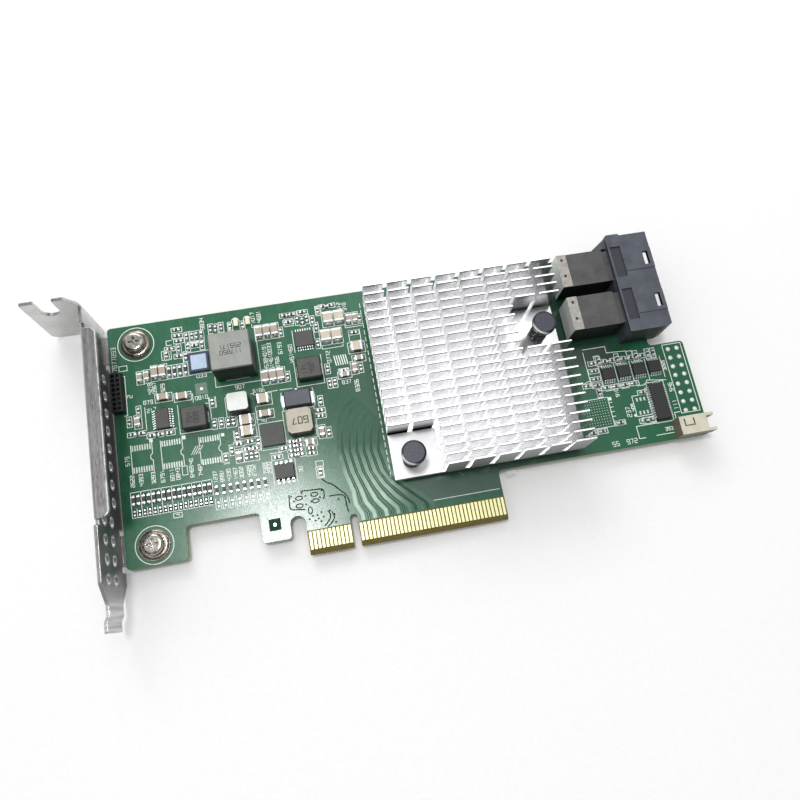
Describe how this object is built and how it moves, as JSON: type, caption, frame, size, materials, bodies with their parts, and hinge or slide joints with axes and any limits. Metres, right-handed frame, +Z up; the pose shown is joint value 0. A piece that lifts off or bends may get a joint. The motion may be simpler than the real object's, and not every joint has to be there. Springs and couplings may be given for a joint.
{
  "type": "host bus adapter",
  "caption": "Flat expansion card with a finned heat sink, gold edge contacts, a vented end bracket and cable sockets at its free end, for attaching storage drives.",
  "frame": {"origin": "centre line of the key notch at the tip of the edge-contact tongue, on the component face", "axes": "+X along the edge contacts, away from the bracket; +Y from the tongue tip to the card's top edge; +Z up from the component face"},
  "size_m": [0.1698, 0.0802, 0.0233],
  "materials": {
    "solder_mask": "glossy green solder resist",
    "gold": "gold plated",
    "tin": "tinned, satin",
    "bracket_steel": "plated sheet, satin",
    "screw_metal": "nickel plated",
    "washer_metal": "plated, satin",
    "bare_aluminium": "bare, satin",
    "pin_plastic": "black nylon",
    "spring_steel": "spring wire",
    "pad_rubber": "soft grey pad",
    "lid_metal": "nickel plated",
    "substrate": "green laminate",
    "black_plastic": "black moulded",
    "wafer_plastic": "black moulded, smooth",
    "cap_plastic": "pale grey moulded",
    "ferrite": "pressed powder, grey",
    "dark_ferrite": "pressed powder, dark",
    "cream_plastic": "cream moulded",
    "white_ceramic": "off-white",
    "navy_plastic": "dark blue",
    "pale_blue": "pale blue plate",
    "slate_plastic": "slate moulded",
    "chip_plastic": "black moulded package",
    "tan_ceramic": "tan ceramic",
    "brown_ceramic": "brown ceramic",
    "dark_ceramic": "black film on ceramic",
    "led_plastic": "clear cream lens"
  },
  "bodies": {
    "root": {"circuit_board": "solder_mask", "edge_contacts_front": "gold", "edge_contacts_back": "gold", "header_barrels": "tin", "bracket": "bracket_steel", "bracket_screws": "screw_metal", "bracket_washers": "washer_metal", "heat_sink": "bare_aluminium", "push_pins": "pin_plastic", "push_pin_springs": "spring_steel", "thermal_pad": "pad_rubber", "controller_lid": "lid_metal", "controller_substrate": "substrate", "controller_balls": "tin", "port_housing": "black_plastic", "upper_wafer_block": "wafer_plastic", "lower_wafer_block": "wafer_plastic", "wafer_end_caps": "cap_plastic", "port_contacts": "gold", "port_solder_tails": "tin", "large_choke_core": "ferrite", "large_choke_terminals": "tin", "cream_choke_core": "cream_plastic", "cream_choke_base": "chip_plastic", "white_choke": "white_ceramic", "dark_choke_left": "dark_ferrite", "dark_choke_centre": "dark_ferrite", "dark_choke_terminals": "tin", "power_stage_body": "navy_plastic", "power_stage_plate": "pale_blue", "rectifier_body": "slate_plastic", "rectifier_terminals": "tin", "regulator_chip": "chip_plastic", "clock_chip_body": "chip_plastic", "clock_chip_leads": "tin", "driver_chip_body": "chip_plastic", "driver_chip_leads": "tin", "flash_chip_body": "chip_plastic", "flash_chip_leads": "tin", "buffer_chip_bodies": "chip_plastic", "buffer_chip_leads": "tin", "memory_chip_body": "chip_plastic", "memory_chip_leads": "tin", "large_capacitor_bodies": "tan_ceramic", "large_capacitor_terminals": "tin", "mid_capacitor_bodies": "brown_ceramic", "mid_capacitor_terminals": "tin", "small_capacitor_bodies": "brown_ceramic", "small_capacitor_terminals": "tin", "chip_resistor_bodies": "dark_ceramic", "chip_resistor_terminals": "tin", "status_leds": "led_plastic", "rear_header_housing": "black_plastic", "rear_header_pins": "gold", "corner_socket": "cream_plastic", "corner_socket_pins": "tin"}
  },
  "joints": []
}
